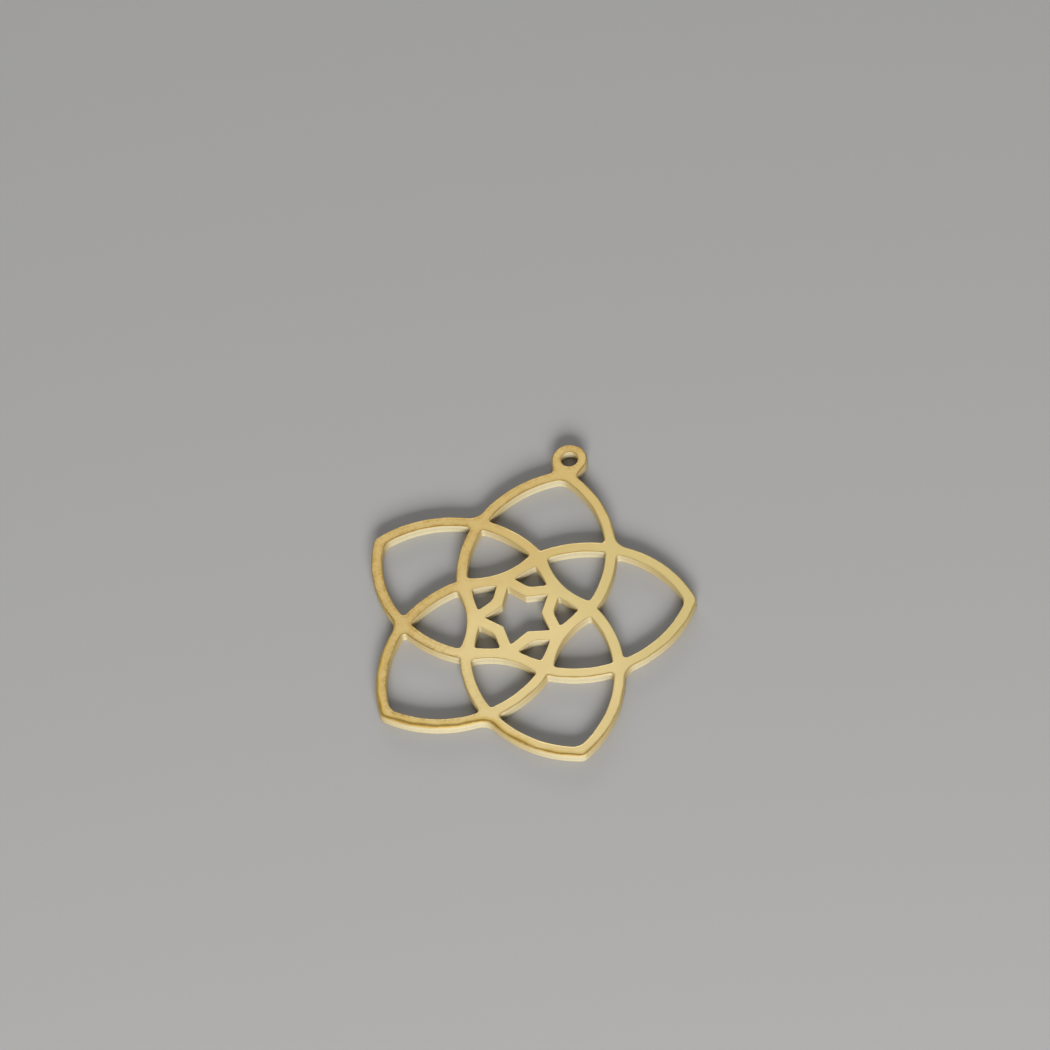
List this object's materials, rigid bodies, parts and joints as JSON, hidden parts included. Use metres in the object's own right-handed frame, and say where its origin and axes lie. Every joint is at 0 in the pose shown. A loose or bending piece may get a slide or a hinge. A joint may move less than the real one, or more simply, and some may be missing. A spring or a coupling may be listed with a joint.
{
  "type": "pierced brass flower pendant",
  "caption": "Flat pierced metal flower pendant of overlapping arc petals round a small star, with a hanging ring at the tip of one petal.",
  "frame": {"origin": "on the axis of the hanging ring's hole, on the plate's underside", "axes": "+Z out of the plate's top face, +Y from the flower's centre towards the hanging ring, +X to the right seen from above"},
  "size_m": [0.0296, 0.0312, 0.001],
  "materials": {
    "brass": "satin raw brass, lightly tumbled, with warm tarnish along some edges"
  },
  "bodies": {
    "root": {"flower_plate": "brass"}
  },
  "joints": []
}
